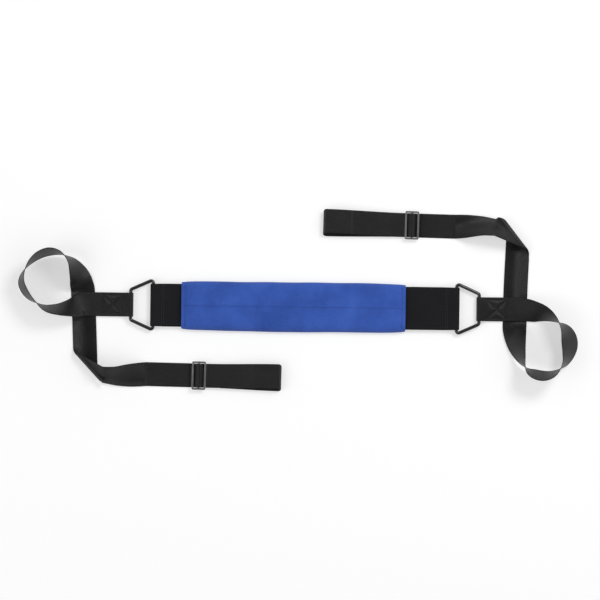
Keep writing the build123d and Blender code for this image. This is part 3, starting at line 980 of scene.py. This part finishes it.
def make_sewn_end(place):
    """The strap's end, which comes in below, wraps the slider's bar and is sewn to itself."""
    side, half, bar_z = place.side, STRAP / 2, place.bar_z
    top = STRAP + SLIT / 2 + half
    tail = [(SEWN_END, half), (0.009, half), (0.0065, half + 0.0001), (0.003, half + 0.0016)]
    tail += arc(bar_z, place.wrap, 270, 0, 12)
    tail += [(0.0032, bar_z - 0.0019), (0.0066, top + 0.00045), (0.009, top), (0.030, top)]
    piece, length = piece_of_strap(
        f"{side}_sewn_end", place.sections(tail, 0.001), f"{side}_slider_tail", place.slider_body)
    node = f"{side}_tail_stitching"
    side_way = UP.cross(place.run) * (STRAP_WIDTH / 2 - 0.004)
    middles = [place.slider_at + place.run * d for d in (0.017, 0.026)]
    rows = [(at - side_way, at + side_way) for at in middles]
    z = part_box(node)[0].z - 0.0001
    stitches = rows_of_black(f"{side}_tail_stitches", rows, z, 0.003, 0.00025, place.slider_body, node)


def finish_slider(side):
    """The slider's frame keeps its CAD shape."""
    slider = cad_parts[f"{side}_slider_frame"]
    slider.data.materials.clear()
    slider.data.materials.append(SLIDER_METAL)


make_belt()
make_sleeve()
for side_name, side_data in SIDES.items():
    side_place = Side(side_name, side_data)
    make_ring(side_name, side_data["sign"])
    make_strap(side_place, side_data)
    make_run(side_place)
    make_hand_loop(side_place)
    make_sewn_end(side_place)
    finish_slider(side_name)


# ---- floor, light and camera ----
FLOOR_REACH = 6
FLOOR_DROP = 0.0003
FLOOR_GLOW = 0.50
WALL_LIGHT = 0.85
CEILING_LIGHT = 0.09
WALL_TOP, CEILING_EDGE = 0.62, 0.93      # sines of the height at which the walls fade
FRONT_BALANCE, SIDE_BALANCE = 0.45, 1.5  # the walls beside the belt's ends are brighter


def make_floor():
    """A pale floor that keeps the shadow and looks white to camera, gloss and glass."""
    m = Shader("floor")
    path = m.node("ShaderNodeLightPath")
    seen = m.math("MAXIMUM", path.outputs["Is Camera Ray"], path.outputs["Is Glossy Ray"])
    seen = m.math("MAXIMUM", seen, path.outputs["Is Transmission Ray"])
    m.link(m.math("MULTIPLY", seen, FLOOR_GLOW), m.surface.inputs["Emission Strength"])
    m.set(Base_Color=(0.66, 0.66, 0.66, 1), Roughness=0.9, Specular_IOR_Level=0.1,
          Emission_Color=(1, 1, 1, 1))
    signs = ((-1, -1), (1, -1), (1, 1), (-1, 1))
    corners = [Vector((x * FLOOR_REACH, y * FLOOR_REACH, -FLOOR_DROP)) for x, y in signs]
    mesh_object("floor", corners, [(0, 1, 2, 3)], m.material)


def make_lamp(name, place, size, power):
    """A round soft lamp that points at the origin."""
    light = bpy.data.lights.new(name, "AREA")
    light.shape = "DISK"
    light.size = size
    light.energy = power
    lamp = bpy.data.objects.new(name, light)
    lamp.location = place
    lamp.rotation_euler = (-Vector(place)).to_track_quat("-Z", "Y").to_euler()
    bpy.context.scene.collection.objects.link(lamp)


def make_world():
    """A soft studio: bright walls, brighter at the belt's two ends, and a dim ceiling."""
    world = bpy.data.worlds.new("studio")
    bpy.context.scene.world = world
    world.use_nodes = True
    tree = world.node_tree
    background = tree.nodes["Background"]
    background.inputs["Color"].default_value = (1, 1, 1, 1)
    place = tree.nodes.new("ShaderNodeTexCoord")
    split = tree.nodes.new("ShaderNodeSeparateXYZ")
    tree.links.new(place.outputs["Generated"], split.inputs[0])

    fade = tree.nodes.new("ShaderNodeMapRange")
    fade.interpolation_type = "SMOOTHSTEP"
    fade.inputs["From Min"].default_value = WALL_TOP
    fade.inputs["From Max"].default_value = CEILING_EDGE
    fade.inputs["To Min"].default_value = WALL_LIGHT
    fade.inputs["To Max"].default_value = CEILING_LIGHT
    tree.links.new(split.outputs["Z"], fade.inputs["Value"])

    sideways = tree.nodes.new("ShaderNodeMath")
    sideways.operation = "MULTIPLY"
    tree.links.new(split.outputs["X"], sideways.inputs[0])
    tree.links.new(split.outputs["X"], sideways.inputs[1])
    balance = tree.nodes.new("ShaderNodeMapRange")
    balance.inputs["To Min"].default_value = FRONT_BALANCE
    balance.inputs["To Max"].default_value = SIDE_BALANCE
    tree.links.new(sideways.outputs[0], balance.inputs["Value"])

    strength = tree.nodes.new("ShaderNodeMath")
    strength.operation = "MULTIPLY"
    tree.links.new(fade.outputs[0], strength.inputs[0])
    tree.links.new(balance.outputs[0], strength.inputs[1])
    tree.links.new(strength.outputs[0], background.inputs["Strength"])


make_floor()
make_lamp("key", (1.25, 1.35, 1.9), 0.9, 26)
make_lamp("fill", (-1.9, -0.7, 1.6), 1.8, 9)
make_world()

VIEW_WIDTH = 0.9498                              # metres across the picture
VIEW_CENTRE = Vector((-0.00784, 0.01084, 0))
VIEW_ROLL = 0.75                                 # degrees
camera_data = bpy.data.cameras.new("camera")
camera_data.sensor_width = 36
camera_data.lens = 220
camera_data.clip_end = 50
camera = bpy.data.objects.new("camera", camera_data)
camera.rotation_euler = (0, 0, math.radians(VIEW_ROLL))
camera.location = VIEW_CENTRE + UP * (VIEW_WIDTH * camera_data.lens / camera_data.sensor_width)
bpy.context.scene.collection.objects.link(camera)
bpy.context.scene.camera = camera
bpy.context.scene.view_settings.view_transform = "Standard"
